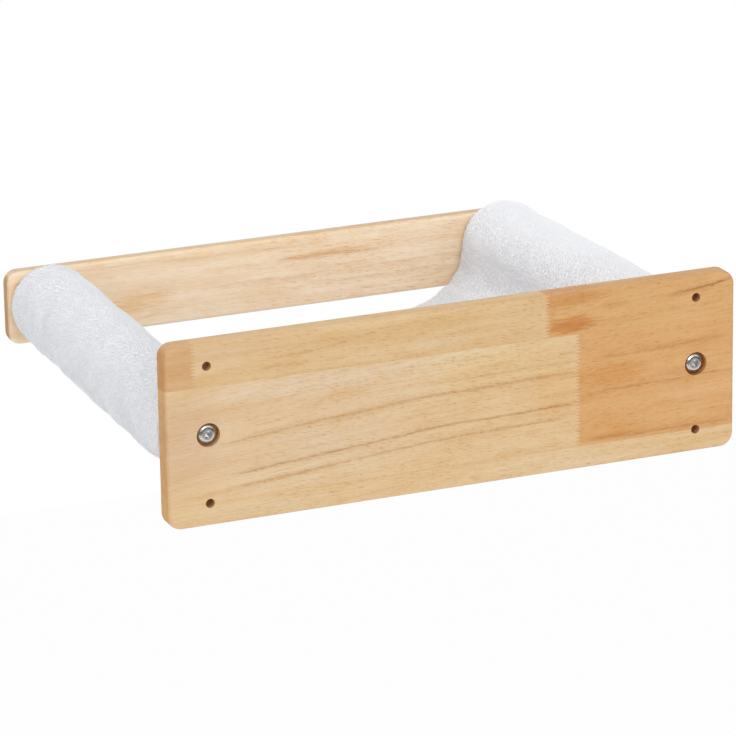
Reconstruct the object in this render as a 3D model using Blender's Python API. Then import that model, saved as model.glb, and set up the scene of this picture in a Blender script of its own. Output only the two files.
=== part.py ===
"""Wall-mounted cat hammock: two rubberwood boards, two dowels and a plush sling.

The wall board stands flat against the wall. Two dowels run out from it to the narrower outer
board, and an M8 bolt through each board screws into a threaded insert in each dowel's end.
The sling is one piece of plush whose sides wrap the dowels and are hemmed under the bed.

Frame: metres, +Z up. The wall is at +Y and the room at -Y. The origin is the centre of the
wall board's wall face. Left and right are as seen from the room, so left is at -X.
"""
import bmesh
import bpy
from math import cos, pi, radians, sin
from mathutils import Vector

# Boards
BOARD_LENGTH = 0.395
WALL_BOARD_HEIGHT = 0.120
WALL_BOARD_THICKNESS = 0.015
OUTER_BOARD_HEIGHT = 0.052
OUTER_BOARD_THICKNESS = 0.010
BOARD_CORNER_RADIUS = 0.009
BOARD_ARRIS_RADIUS = 0.0025
BED_DEPTH = 0.296                   # clear distance between the boards

# Bolts, M8 button heads with a hexagon socket
BOLT_FROM_BOARD_END = 0.028
BOLT_DIAMETER = 0.008
BOLT_LENGTH = 0.030                 # under the head
BOLT_HEAD_DIAMETER = 0.014
BOLT_HEAD_HEIGHT = 0.0044
BOLT_HEAD_RIM = 0.0009              # straight edge under the dome
SOCKET_ACROSS_FLATS = 0.005
SOCKET_DEPTH = 0.0030
BOLT_HOLE_CLEARANCE = 0.0005        # on the radius
COUNTERBORE_CLEARANCE = 0.0008      # on the radius
COUNTERBORE_DEPTH = 0.006           # sinks the heads below the wall face

# Holes for the four wall screws
SCREW_HOLE_DIAMETER = 0.006
SCREW_HOLE_FROM_EDGE = 0.015        # from the board's top or bottom edge
COUNTERSINK_DIAMETER = 0.011

# Dowels and their threaded inserts
DOWEL_DIAMETER = 0.030
DOWEL_CHAMFER = 0.0015
INSERT_DIAMETER = 0.012
INSERT_LENGTH = 0.018
INSERT_BARB_DEPTH = 0.0008
INSERT_BARBS = 3
BOLT_BORE_PAST_TIP = 0.004

# Plush sling
PLUSH_THICKNESS = 0.010             # backing and pile together
SLEEVE_EASE = 0.0034                # how loosely a sleeve sits on its dowel, on the radius
SEAM_LEAD = 0.0142                  # seam inward of the sleeve
SEAM_SINK = 0.0008                  # seam below the sleeve
SLING_SAG = 0.0462                  # middle of the bed below the dowels' axes
SLING_DISH = 0.0020                 # extra sag halfway between the boards
HEM_WIDTH = 0.020
SLING_TO_BOARD = 0.0012             # room between the plush and each board
SLING_WAIST = 0.0035                # how far each free edge draws in at mid-span
PLUSH_EDGE = 0.0060                 # width of the rounded edge
SLEEVE_END = 0.0350                 # length over which a sleeve draws to its dowel at an end

# How each sleeve lies on its dowel, from the outer board (0) to the wall board (1): at each
# station, the shift of its middle as a share of its ease, and the angle of that shift above
# the inward direction in degrees. It also puffs out on one side.
SLEEVE_LIE = {
    "left": ((0, 0.85, 95), (0.88, 0.95, 130), (1, 0.60, 130)),
    "right": ((0, 0.70, 40), (0.88, 0.95, 232), (1, 0.30, 232)),
}
SLEEVE_PUFF = {"left": 0.0034, "right": 0.0004}
PUFF_ANGLE = {"left": radians(130), "right": radians(232)}

# Angles of the sling's section, above the inward direction
LOOP_FROM = radians(250)            # where the sleeve leaves its hem, under the dowel
LOOP_TO = radians(12)               # where it turns into the bed, on the inner side
BED_SLOPE = radians(-42)            # at the seam, falling towards the middle

FIT_GAP = 0.0003                    # between pieces that touch
ROUND_STEPS = 40
HOLE_STEPS = 32
FASTENER_STEPS = 24
LOOP_STEPS = 15
BED_STEPS = 6

DOWEL_X = BOARD_LENGTH / 2 - BOLT_FROM_BOARD_END
WALL_INNER_Y = -WALL_BOARD_THICKNESS
OUTER_INNER_Y = WALL_INNER_Y - BED_DEPTH
OUTER_FACE_Y = OUTER_INNER_Y - OUTER_BOARD_THICKNESS
BOLT_RADIUS = BOLT_DIAMETER / 2
DOWEL_RADIUS = DOWEL_DIAMETER / 2
SLEEVE_RADIUS = DOWEL_RADIUS + FIT_GAP + SLEEVE_EASE + PLUSH_THICKNESS / 2
SIDES = {"left": -1, "right": 1}


def clear_scene():
    for item in list(bpy.data.objects):
        bpy.data.objects.remove(item)


def finish(name, colour, roughness, metallic=0.0):
    """A plain Principled material."""
    material = bpy.data.materials.new(name)
    material.use_nodes = True
    shader = material.node_tree.nodes["Principled BSDF"]
    shader.inputs["Base Color"].default_value = (*colour, 1.0)
    shader.inputs["Roughness"].default_value = roughness
    shader.inputs["Metallic"].default_value = metallic
    return material


def add_object(name, bm, material=None):
    """Put a bmesh into the scene as one object with its faces pointing out."""
    bmesh.ops.recalc_face_normals(bm, faces=bm.faces)
    mesh = bpy.data.meshes.new(name)
    bm.to_mesh(mesh)
    bm.free()
    mesh.shade_smooth()
    mesh.set_sharp_from_angle(angle=radians(35))
    if material:
        mesh.materials.append(material)
    return place_mesh(name, mesh)


def place_mesh(name, mesh):
    item = bpy.data.objects.new(name, mesh)
    bpy.context.collection.objects.link(item)
    return item


def turned(rings, steps, ring_shaped=False):
    """Loft rings of (radius, height, sides) about local Z.

    Sides of 0 is a circle. Any other number is a polygon, and the radius is then half of its
    width across flats. A ring-shaped piece closes on its first ring instead of having caps.
    """
    bm = bmesh.new()
    loops = []
    for radius, height, sides in rings:
        loop = []
        for step in range(steps):
            angle = 2 * pi * step / steps
            reach = radius
            if sides:
                half = pi / sides
                reach = radius / cos(angle % (2 * half) - half)
            loop.append(bm.verts.new((reach * cos(angle), reach * sin(angle), height)))
        loops.append(loop)
    if ring_shaped:
        loops.append(loops[0])
    else:
        bm.faces.new(loops[0])
        bm.faces.new(loops[-1])
    for lower, upper in zip(loops, loops[1:]):
        for step in range(steps):
            after = (step + 1) % steps
            bm.faces.new((lower[step], lower[after], upper[after], upper[step]))
    return bm


def point_along_y(item, direction):
    """Turn a piece made about local Z so that its +Z looks along +Y or -Y."""
    item.rotation_euler = (-direction * pi / 2, 0, 0)


def board(name, height, thickness, face_y, material):
    """A board with round corners whose wall-side face lies at face_y."""
    corner_steps = 7
    reach_x = BOARD_LENGTH / 2 - BOARD_CORNER_RADIUS
    reach_z = height / 2 - BOARD_CORNER_RADIUS
    bm = bmesh.new()
    outline = []
    for quarter, (side, up) in enumerate(((1, 1), (-1, 1), (-1, -1), (1, -1))):
        for step in range(corner_steps + 1):
            angle = (quarter + step / corner_steps) * pi / 2
            x = side * reach_x + BOARD_CORNER_RADIUS * cos(angle)
            z = up * reach_z + BOARD_CORNER_RADIUS * sin(angle)
            outline.append(bm.verts.new((x, 0, z)))
    face = bm.faces.new(outline)
    grown = bmesh.ops.extrude_face_region(bm, geom=[face])["geom"]
    moved = [part for part in grown if isinstance(part, bmesh.types.BMVert)]
    bmesh.ops.translate(bm, verts=moved, vec=(0, -thickness, 0))
    item = add_object(name, bm, material)
    item.location.y = face_y
    arris = item.modifiers.new("arris", "BEVEL")
    arris.width = BOARD_ARRIS_RADIUS
    arris.segments = 3
    arris.limit_method = "ANGLE"
    arris.angle_limit = radians(40)
    return item


def cut(item, name, rings, place, direction):
    """Cut a turned hole whose local +Z looks along +Y or -Y."""
    cutter = add_object(name, turned(rings, HOLE_STEPS))
    cutter.location = place
    point_along_y(cutter, direction)
    cutter.hide_render = True
    cutter.display_type = "WIRE"
    hole = item.modifiers.new(name, "BOOLEAN")
    hole.operation = "DIFFERENCE"
    hole.solver = "EXACT"
    hole.object = cutter


def cut_bolt_hole(item, side, face_y, thickness, counterbore, direction):
    """A clearance hole, with or without a counterbore, entered from the bolt head's side."""
    past = thickness / 4
    hole_radius = BOLT_RADIUS + BOLT_HOLE_CLEARANCE
    rings = [(hole_radius, -thickness - past, 0)]
    if counterbore:
        wide = BOLT_HEAD_DIAMETER / 2 + COUNTERBORE_CLEARANCE
        rings += [(hole_radius, -counterbore, 0), (wide, -counterbore, 0), (wide, past, 0)]
    else:
        rings += [(hole_radius, past, 0)]
    place = (SIDES[side] * DOWEL_X, face_y, 0)
    cut(item, f"{item.name}_bolt_hole_{side}", rings, place, direction)


def cut_screw_hole(item, side, level):
    """A wall-screw hole through the wall board, countersunk on the room side."""
    past = WALL_BOARD_THICKNESS / 4
    narrow = SCREW_HOLE_DIAMETER / 2
    wide = COUNTERSINK_DIAMETER / 2
    rings = [
        (narrow, -WALL_BOARD_THICKNESS - past, 0),
        (narrow, -(wide - narrow), 0),
        (wide, 0, 0),
        (wide, past, 0),
    ]
    height = level * (WALL_BOARD_HEIGHT / 2 - SCREW_HOLE_FROM_EDGE)
    place = (SIDES[side] * DOWEL_X, WALL_INNER_Y, height)
    name = f"{item.name}_screw_hole_{side}_{'upper' if level > 0 else 'lower'}"
    cut(item, name, rings, place, -1)


def even_shading(item):
    """Keep the flat faces looking flat beside the round arrises."""
    shading = item.modifiers.new("even shading", "WEIGHTED_NORMAL")
    shading.keep_sharp = True


def make_boards(wood):
    wall = board("wall_board", WALL_BOARD_HEIGHT, WALL_BOARD_THICKNESS, 0, wood)
    outer = board("outer_board", OUTER_BOARD_HEIGHT, OUTER_BOARD_THICKNESS, OUTER_INNER_Y, wood)
    for side in SIDES:
        cut_bolt_hole(wall, side, 0, WALL_BOARD_THICKNESS, COUNTERBORE_DEPTH, 1)
        cut_bolt_hole(outer, side, OUTER_FACE_Y, OUTER_BOARD_THICKNESS, 0, -1)
        for level in (1, -1):
            cut_screw_hole(wall, side, level)
    even_shading(wall)
    even_shading(outer)


def bolt_reach(board_left):
    """How far a bolt's tip goes past the board that it clamps."""
    return BOLT_LENGTH - FIT_GAP - board_left


def dowel_bore(board_left):
    """Rings of one end of a dowel, from the bore's floor out to the chamfer."""
    insert_bore = INSERT_DIAMETER / 2 + FIT_GAP
    bolt_bore = BOLT_RADIUS + BOLT_HOLE_CLEARANCE
    floor = max(bolt_reach(board_left), INSERT_LENGTH) + BOLT_BORE_PAST_TIP
    step = INSERT_LENGTH + FIT_GAP
    return [
        (bolt_bore, floor),
        (bolt_bore, step),
        (insert_bore, step),
        (insert_bore, 0),
        (DOWEL_RADIUS - DOWEL_CHAMFER, 0),
        (DOWEL_RADIUS, DOWEL_CHAMFER),
    ]


def make_dowels(wood):
    """Two dowels with a stepped bore in each end. Local +Z looks towards the wall."""
    length = BED_DEPTH - 2 * FIT_GAP
    wall_end = dowel_bore(WALL_BOARD_THICKNESS - COUNTERBORE_DEPTH)
    outer_end = dowel_bore(OUTER_BOARD_THICKNESS)
    rings = [(radius, depth - length / 2, 0) for radius, depth in outer_end]
    rings += [(radius, length / 2 - depth, 0) for radius, depth in reversed(wall_end)]
    for side, sign in SIDES.items():
        item = add_object(f"dowel_{side}", turned(rings, ROUND_STEPS), wood)
        item.location = (sign * DOWEL_X, (WALL_INNER_Y + OUTER_INNER_Y) / 2, 0)
        point_along_y(item, 1)


def insert_rings():
    """A barbed sleeve. Local z = 0 is its open end and it goes down from there."""
    bore = BOLT_RADIUS + FIT_GAP
    crest = INSERT_DIAMETER / 2
    root = crest - INSERT_BARB_DEPTH
    collar = INSERT_LENGTH / 9
    pitch = (INSERT_LENGTH - collar) / INSERT_BARBS
    rings = [(bore, 0, 0), (crest, 0, 0), (crest, -collar, 0)]
    for barb in range(INSERT_BARBS):
        top = -collar - barb * pitch
        rings += [(root, top, 0), (crest, top - pitch * 0.25, 0), (root, top - pitch * 0.9, 0)]
    rings += [(root, -INSERT_LENGTH, 0), (bore, -INSERT_LENGTH, 0)]
    return rings


def bolt_rings():
    """A button head over a plain shank. Local z = 0 is the underside of the head."""
    head = BOLT_HEAD_DIAMETER / 2
    tip = BOLT_RADIUS * 0.2
    dome_steps = 5
    socket = SOCKET_ACROSS_FLATS / 2
    flat = socket * 1.45
    rings = [
        (BOLT_RADIUS - tip, -BOLT_LENGTH, 0),
        (BOLT_RADIUS, -BOLT_LENGTH + tip, 0),
        (BOLT_RADIUS, 0, 0),
        (head * 0.97, 0, 0),
        (head, BOLT_HEAD_RIM * 0.3, 0),
    ]
    for step in range(dome_steps + 1):
        angle = step / dome_steps * pi / 2
        radius = flat + (head - flat) * cos(angle)
        rings.append((radius, BOLT_HEAD_RIM + (BOLT_HEAD_HEIGHT - BOLT_HEAD_RIM) * sin(angle), 0))
    rings += [
        (socket, BOLT_HEAD_HEIGHT, 6),
        (socket, BOLT_HEAD_HEIGHT - SOCKET_DEPTH, 6),
        (socket * 0.3, BOLT_HEAD_HEIGHT - SOCKET_DEPTH * 1.2, 0),
    ]
    return rings


def make_fasteners(steel, zinc):
    """A bolt and an insert for each end of each dowel, sharing one mesh for each kind."""
    ends = {
        "wall": (1, -COUNTERBORE_DEPTH + FIT_GAP, WALL_INNER_Y - FIT_GAP),
        "outer": (-1, OUTER_FACE_Y - FIT_GAP, OUTER_INNER_Y + FIT_GAP),
    }
    bolt_mesh = insert_mesh = None
    for end, (direction, seat_y, dowel_end_y) in ends.items():
        for side, sign in SIDES.items():
            if bolt_mesh is None:
                bolt = add_object(f"bolt_{end}_{side}", turned(bolt_rings(), FASTENER_STEPS), steel)
                sleeve = turned(insert_rings(), FASTENER_STEPS, ring_shaped=True)
                insert = add_object(f"insert_{end}_{side}", sleeve, zinc)
                bolt_mesh = bolt.data
                insert_mesh = insert.data
            else:
                bolt = place_mesh(f"bolt_{end}_{side}", bolt_mesh)
                insert = place_mesh(f"insert_{end}_{side}", insert_mesh)
            bolt.location = (sign * DOWEL_X, seat_y, 0)
            insert.location = (sign * DOWEL_X, dowel_end_y, 0)
            point_along_y(bolt, direction)
            point_along_y(insert, direction)


def cubic(controls, t):
    """The point at t on a cubic curve."""
    start, start_pull, end_pull, end = controls
    s = 1 - t
    return s ** 3 * start + 3 * s * s * t * start_pull + 3 * s * t * t * end_pull + t ** 3 * end


def cubic_heading(controls, t):
    """The direction of a cubic curve at t."""
    start, start_pull, end_pull, end = controls
    s = 1 - t
    slope = s * s * (start_pull - start) + 2 * s * t * (end_pull - start_pull)
    return (slope + t * t * (end - end_pull)).normalized()


def polar(radius, angle):
    return Vector((cos(angle), sin(angle))) * radius


def bed_controls(sag):
    """Controls of the bed's mid-line from the seam to mid-span."""
    seam = Vector((SLEEVE_RADIUS + SEAM_LEAD, -SLEEVE_RADIUS - SEAM_SINK))
    middle = Vector((DOWEL_X, -sag))
    pull = polar((middle - seam).length * 0.21, BED_SLOPE)
    level = Vector(((middle.x - seam.x) * 0.72, 0))
    return seam, seam + pull, middle - level, middle


def sleeve_shift(side, along):
    """Where the middle of a sleeve lies, from the dowel's axis."""
    stations = SLEEVE_LIE[side]
    for (start, share, angle), (end, next_share, next_angle) in zip(stations, stations[1:]):
        if along <= end:
            here = polar(SLEEVE_EASE * share, radians(angle))
            there = polar(SLEEVE_EASE * next_share, radians(next_angle))
            return here.lerp(there, (along - start) / (end - start))
    return there


def sleeve_loop(side, along):
    """Mid-line of the part of a sleeve that goes round the dowel, from under it to its inside."""
    middle = sleeve_shift(side, along)
    swell = SLEEVE_PUFF[side] * (1 + 0.5 * sin(4 * along - 1))
    loop = []
    for step in range(LOOP_STEPS + 1):
        angle = LOOP_FROM + (LOOP_TO - LOOP_FROM) * step / LOOP_STEPS
        puff = swell * (0.5 + 0.5 * cos(angle - PUFF_ANGLE[side]))
        loop.append(middle + polar(SLEEVE_RADIUS + puff, angle))
    return loop


def half_section(side, along, sag):
    """Mid-line of half the sling's section, from the hem under the bed to mid-span.

    Points are (inward, up) from the dowel's axis. Along is 0 at the outer board and 1 at the
    wall board.
    """
    bed = bed_controls(sag)
    seam = bed[0]
    loop = sleeve_loop(side, along)

    ply_gap = PLUSH_THICKNESS + 2 * FIT_GAP
    hem_share = HEM_WIDTH / (3 * (bed[1] - bed[0]).length)
    hem = []
    for share in (hem_share, hem_share / 2, 0):
        heading = cubic_heading(bed, share)
        hem.append(cubic(bed, share) + Vector((heading.y, -heading.x)) * ply_gap)

    under_seam = hem[-1]
    reach = (loop[0] - under_seam).length / 3
    leave = polar(reach, LOOP_FROM + pi / 2)
    lower_ply = (under_seam, under_seam - polar(reach, BED_SLOPE), loop[0] + leave, loop[0])

    drop = polar((loop[-1] - seam).length / 2, LOOP_TO - pi / 2)
    arrive = polar(SEAM_LEAD * 0.7, BED_SLOPE)
    upper_ply = (loop[-1], loop[-1] + drop, seam - arrive, seam)

    line = hem[:-1]
    line += [cubic(lower_ply, step / 3) for step in range(3)]
    line += loop[:-1]
    line += [cubic(upper_ply, step / 4) for step in range(4)]
    line += [cubic(bed, step / BED_STEPS) for step in range(BED_STEPS + 1)]
    return line


def sling_row(along):
    """Mid-line of the whole sling's section, from the left hem to the right hem, as (x, z)."""
    sag = SLING_SAG + SLING_DISH * sin(pi * along)
    left, right = (half_section(side, along, sag) for side in SIDES)
    row = [(x - DOWEL_X, z) for x, z in left]
    return row + [(DOWEL_X - x, z) for x, z in reversed(right[:-1])]


def make_sling(plush):
    """One piece of plush: a lofted sheet with its mid-surface as drawn, then given its body."""
    length = BED_DEPTH - 2 * SLING_TO_BOARD
    start = [0, PLUSH_EDGE * 0.35, PLUSH_EDGE * 1.2, SLEEVE_END]
    run = length - 2 * SLEEVE_END
    places = start + [SLEEVE_END + run / 3, length - SLEEVE_END - run / 3]
    places += [length - place for place in reversed(start)]

    bm = bmesh.new()
    fullness = []
    rows = []
    for place in places:
        row = []
        to_edge = min(place, length - place)
        full = min(1, (to_edge / PLUSH_EDGE + 0.12) ** 0.5)
        for x, z in sling_row(place / length):
            free = max(0, cos(pi * x / (2 * DOWEL_X)))
            draw_in = SLING_WAIST * free ** 2 * (1 - 2 * place / length)
            y = OUTER_INNER_Y + SLING_TO_BOARD + place + draw_in
            row.append(bm.verts.new((x, y, z)))
            fullness.append(full)
        rows.append(row)
    for row, after in zip(rows, rows[1:]):
        for step in range(len(row) - 1):
            bm.faces.new((row[step], row[step + 1], after[step + 1], after[step]))

    item = add_object("plush_sling", bm, plush)
    group = item.vertex_groups.new(name="fullness")
    for index, full in enumerate(fullness):
        group.add([index], full, "REPLACE")
    body = item.modifiers.new("plush body", "SOLIDIFY")
    body.thickness = PLUSH_THICKNESS
    body.offset = 0
    body.use_even_offset = True
    body.vertex_group = group.name


def main():
    clear_scene()
    wood = finish("rubberwood", (0.70, 0.47, 0.27), 0.42)
    steel = finish("bright_steel", (0.72, 0.71, 0.69), 0.22, 1.0)
    zinc = finish("zinc_alloy", (0.58, 0.58, 0.56), 0.40, 1.0)
    plush = finish("white_plush", (0.80, 0.80, 0.81), 0.95)
    make_boards(wood)
    make_dowels(wood)
    make_fasteners(steel, zinc)
    make_sling(plush)


main()
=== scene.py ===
"""Looks of a wall-mounted cat hammock: rubberwood, steel, white plush and a plain studio.

It is laid out as an add-on and run as a script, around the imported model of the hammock.
Metres, +Z up. The wall is at +Y and the room at -Y, and left and right are as seen from the room.
"""
from functools import partial
from math import cos, pi, radians, sin
from typing import NamedTuple

import bpy
import numpy as np
from bpy.props import FloatProperty, FloatVectorProperty, IntProperty, PointerProperty
from mathutils import Matrix, Vector, noise


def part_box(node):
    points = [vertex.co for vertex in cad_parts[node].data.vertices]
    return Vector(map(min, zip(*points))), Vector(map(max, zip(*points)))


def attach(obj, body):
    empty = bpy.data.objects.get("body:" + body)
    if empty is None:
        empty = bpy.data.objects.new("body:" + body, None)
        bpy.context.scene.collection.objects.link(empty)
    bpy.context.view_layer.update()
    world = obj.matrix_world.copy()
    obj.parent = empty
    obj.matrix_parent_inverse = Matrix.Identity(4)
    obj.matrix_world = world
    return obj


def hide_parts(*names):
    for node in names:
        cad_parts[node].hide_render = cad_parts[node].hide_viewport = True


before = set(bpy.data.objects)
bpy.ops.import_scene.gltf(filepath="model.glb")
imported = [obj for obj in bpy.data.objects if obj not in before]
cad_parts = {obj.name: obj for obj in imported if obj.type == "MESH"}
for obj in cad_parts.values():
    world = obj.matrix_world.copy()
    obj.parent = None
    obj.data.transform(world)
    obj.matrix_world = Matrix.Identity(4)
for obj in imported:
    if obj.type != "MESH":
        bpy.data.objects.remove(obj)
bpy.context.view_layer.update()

bl_info = {
    "name": "Wall-mounted cat hammock",
    "version": (1, 0, 0),
    "blender": (4, 5, 0),
    "location": "3D View > Sidebar > Hammock",
    "description": "Wood, metal, plush and studio for a wall-mounted cat hammock",
    "category": "Object",
}

MM = 0.001

WALL_ROOM_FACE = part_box("wall_board")[0].y
OUTER_WALL_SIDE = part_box("outer_board")[1].y
DOWEL_LOW, DOWEL_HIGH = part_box("dowel_right")
DOWEL_X = (DOWEL_LOW.x + DOWEL_HIGH.x) / 2
DOWEL_RADIUS = (DOWEL_HIGH.z - DOWEL_LOW.z) / 2
BED_DEPTH = WALL_ROOM_FACE - OUTER_WALL_SIDE

# The sling's section and how its sleeves lie, close to the solid's
CLOTH_BODY = 0.010                  # backing and pile together
TOUCH_GAP = 0.0003                  # between pieces that touch
SLEEVE_EASE = 0.0034                # slack of a sleeve on its dowel, on the radius
SEAM_LEAD = 0.0142                  # seam inward of the sleeve
SEAM_SINK = 0.0008                  # seam below the sleeve
SLING_SAG = 0.0462                  # middle of the bed below the dowels' axes
SLING_DISH = 0.0020                 # more sag halfway between the boards
HEM_WIDTH = 0.020
SLING_TO_BOARD = 0.0012             # room at each board
SLING_WAIST = 0.0035                # how far a free edge draws in at mid-span
ROUND_EDGE, ROUND_END = 0.0022, 0.0040      # over which the sides and the hems' ends round off
BLUNT_EDGE, BLUNT_END = 0.12, 0.25  # squared share of the thickness that is left at the very rim
EDGE_BULGE = 0.0007                 # how far the middle of an edge stands out
GROOVE_DEPTH, GROOVE_WIDTH = 0.0014, 0.0032     # where the seams pull the pile down
# Stations from the outer board to the wall board: share of the length, share of the slack, the
# way the sleeve hangs off its dowel (degrees above the inward direction) and its puff in mm
SLEEVE_LIE = {
    "left": ((0, 0.60, 60, 4.0), (0.3, 0.75, 105, 4.3), (0.6, 0.85, 118, 5.6),
             (0.88, 0.95, 130, 4.9), (1, 0.60, 130, 4.1)),
    "right": ((0, 0.70, 40, 0.3), (0.88, 0.95, 232, 0.5), (1, 0.30, 232, 0.4)),
}
PUFF_TO = {"left": 140, "right": 232}
LOOP_FROM, LOOP_TO = radians(250), radians(4)
BED_SLOPE = radians(-42)            # at the seam
SEAM_TURN = 0.1                     # how much flatter than the bed the sleeve meets it
# How hard the section's curves are pulled straight at their ends, as a share of their length
BED_PULL, MIDDLE_PULL, FOLD_PULL, SEAM_PULL = 0.21, 0.72, 0.64, 0.75
SLEEVE_RADIUS = DOWEL_RADIUS + TOUCH_GAP + SLEEVE_EASE + CLOTH_BODY / 2
SLING_LENGTH = BED_DEPTH - 2 * SLING_TO_BOARD

# How the pile lies: brushed away from the middle of the bed, swirled, ruffled, and turned out
# towards the boards at the sides
BRUSHED, SWIRLED, RUFFLED, TURNED_OUT = 1.1, 0.45, 0.08, 0.12
BRUSH_REACH = 0.13                  # from the middle to where it is brushed flattest
TIP_RUFFLE = 0.05                   # of each tuft on its own
PILE_SEED = 40
SWIRLS = ((0.034, 5), (0.030, 6), (0.032, 7))       # size and seed of each of its three ways
RUFFLES = ((0.007, 8), (0.007, 9), (0.007, 10))
SIDE_TURNED = 0.004                 # from the side to where it is no longer turned out
SEAM_PRESS, SEAM_PRESSED = 0.35, 0.0025     # how much shorter the pile is at a seam, and how far
TUFT_SPREAD, HAIR_SPREAD = (0.7, 1.12), (0.6, 1.1)  # shortest and longest, as shares

SEAM_STITCH_RISE = 0.0016           # of the thread over the dense pile
SEAM_STITCH_MARGIN = 4              # rows at each end of a seam without a stitch
SIDE_ROW_INSET = 0.007              # from the sling's side to its row of stitches
SIDE_ROW_MARGIN = 10                # points from a seam to the side row's first stitch

# Points of half a section: hem, lower ply, loop, upper ply and bed
HEM_POINTS, LOWER_POINTS, LOOP_POINTS, UPPER_POINTS, BED_POINTS = 9, 16, 58, 14, 52
SLING_ROWS = 96
ROWS_EVEN, ROWS_CROWDED = 0.55, 0.45        # shares of the rows' spacing
ROW_EASING = 10                     # times that the rows are softened one against the next


# Settings


def a_length(name, description, default):
    return FloatProperty(name=name, description=description, default=default, unit="LENGTH",
                         precision=5)


def a_share(name, description, default):
    return FloatProperty(name=name, description=description, default=default,
                         subtype="FACTOR", min=0, max=1)


def a_colour(name, description, default):
    return FloatVectorProperty(name=name, description=description, default=default,
                               subtype="COLOR", size=3, min=0, max=1)


def a_power(name, description, default):
    return FloatProperty(name=name, description=description, default=default, unit="POWER")


class WoodSettings(bpy.types.PropertyGroup):
    pore_depth: a_length("Pore depth", "How deep the open pores look", 0.00012)
    lacquer: a_share("Lacquer", "Strength of the clear satin coat", 0.25)
    roughness: a_share("Roughness", "Roughness of the wood under its lacquer", 0.46)


class MetalSettings(bpy.types.PropertyGroup):
    steel: a_colour("Steel", "Colour of the bright bolts", (0.66, 0.65, 0.64))
    zinc: a_colour("Zinc", "Colour of the threaded inserts", (0.56, 0.56, 0.54))


class PlushSettings(bpy.types.PropertyGroup):
    colour: a_colour("Plush", "Colour of the plush", (0.906, 0.912, 0.934))
    pile_shows: a_length("Loose pile", "Depth of the loose tips over the dense pile", 0.0016)
    tuft_length: a_length("Tuft length", "Length of a loose tuft", 0.0021)
    tuft_radius: a_length("Tuft radius", "Radius of a tuft at its root", 0.00036)
    tufts: IntProperty(
        name="Tufts", description="Number of tufts on each quarter of the sling", default=45000)
    hairs: IntProperty(
        name="Hairs", description="Number of longer hairs on each quarter", default=3000)
    hair_length: a_length("Hair length", "Length of a longer hair", 0.0029)
    hair_radius: a_length("Hair radius", "Radius of a longer hair at its root", 0.0002)
    pitch: a_length("Stitch pitch", "Distance from stitch to stitch", 0.0034)
    stitch: a_length("Stitch length", "Length of a stitch", 0.0026)
    thread: a_length("Thread radius", "Radius of the sewing thread", 0.0004)
    lump: a_length("Lumps", "Height of the soft unevenness of the pile", 0.0009)


class StudioSettings(bpy.types.PropertyGroup):
    floor_level: a_length("Floor", "Height of the studio floor", -0.55)
    key: a_power("Key light", "Power of the key light", 18)
    fill: a_power("Fill light", "Power of the light from the room side", 7)
    top: a_power("Top light", "Power of the small light over the bed", 0.33)
    sky: FloatProperty(
        name="Soft light", description="Strength of the light all round", default=0.82)


# Shader helpers


class Field:
    """A number that varies over a surface. Arithmetic on it adds Math nodes."""

    def __init__(self, tree, socket):
        self.tree = tree
        self.socket = socket

    def maths(self, operation, *others, first=None):
        node = self.tree.nodes.new("ShaderNodeMath")
        node.operation = operation
        values = (self, *others) if first is None else (first, self)
        for slot, value in zip(node.inputs, values):
            if isinstance(value, Field):
                self.tree.links.new(value.socket, slot)
            else:
                slot.default_value = value
        return Field(self.tree, node.outputs[0])

    def __add__(self, other):
        return self.maths("ADD", other)

    __radd__ = __add__

    def __sub__(self, other):
        return self.maths("SUBTRACT", other)

    def __rsub__(self, other):
        return self.maths("SUBTRACT", first=other)

    def __mul__(self, other):
        return self.maths("MULTIPLY", other)

    __rmul__ = __mul__

    def __truediv__(self, other):
        return self.maths("DIVIDE", other)

    def __rtruediv__(self, other):
        return self.maths("DIVIDE", first=other)

    def __pow__(self, other):
        return self.maths("POWER", other)

    def __neg__(self):
        return self.maths("MULTIPLY", -1)

    def __abs__(self):
        return self.maths("ABSOLUTE")

    def least(self, other):
        return self.maths("MINIMUM", other)

    def most(self, other):
        return self.maths("MAXIMUM", other)

    def zigzag(self, reach):
        """A triangle wave from 0 to reach."""
        return self.maths("PINGPONG", reach)


def put(tree, slot, value):
    """Link a field or a socket to an input, or set the input's own value."""
    value = value.socket if isinstance(value, Field) else value
    if isinstance(value, bpy.types.NodeSocket):
        tree.links.new(value, slot)
    else:
        slot.default_value = value


def add_node(tree, kind, settings=None, **inputs):
    """Add a node: its settings, then each input by its name, or by its place as at0, at1."""
    node = tree.nodes.new(kind)
    for key, value in (settings or {}).items():
        setattr(node, key, value)
    for key, value in inputs.items():
        put(tree, node.inputs[int(key[2:]) if key.startswith("at") else key], value)
    return node


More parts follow.
